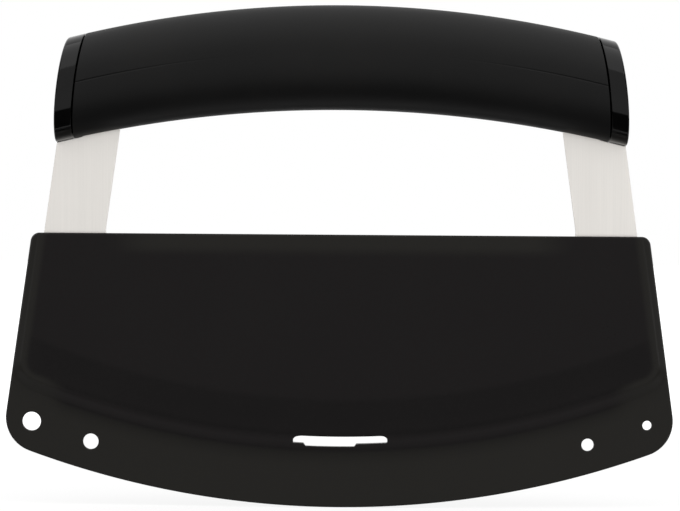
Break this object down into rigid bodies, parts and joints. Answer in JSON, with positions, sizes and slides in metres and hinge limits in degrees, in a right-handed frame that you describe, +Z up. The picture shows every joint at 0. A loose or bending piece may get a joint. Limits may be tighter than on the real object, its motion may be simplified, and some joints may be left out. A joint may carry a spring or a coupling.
{
  "type": "mezzaluna",
  "caption": "Mezzaluna herb chopper: arched soft grip on steel legs, with its curved blade drawn out of a moulded sheath that has herb-stripping holes and a drain slot.",
  "frame": {"origin": "lowest point of the sheath's curved lower edge, on the middle plane of the blade", "axes": "+X along the blade to the right as seen from the front, +Y from the front to the back, +Z up from the sheath to the grip"},
  "size_m": [0.2134, 0.031, 0.1606],
  "materials": {
    "sheath": "satin black moulding, slightly glossy pocket faces",
    "blade": "satin stainless steel, grain along the legs",
    "core": "plain black moulding, hidden",
    "grip": "soft-touch black with a fine parting line",
    "caps": "polished black",
    "pins": "plain steel, hidden"
  },
  "bodies": {
    "sheath": {"blade_sheath": "sheath"},
    "chopper": {"chopper_blade": "blade", "handle_core": "core", "grip_sleeve": "grip", "left_end_cap": "caps", "right_end_cap": "caps", "left_tang_pin_upper": "pins", "left_tang_pin_lower": "pins", "right_tang_pin_upper": "pins", "right_tang_pin_lower": "pins"}
  },
  "joints": [
    {"name": "sheath_draw", "type": "slide", "parent": "sheath", "child": "chopper", "axis": [0, 0, 1], "range_m": [0, 0.07]}
  ]
}
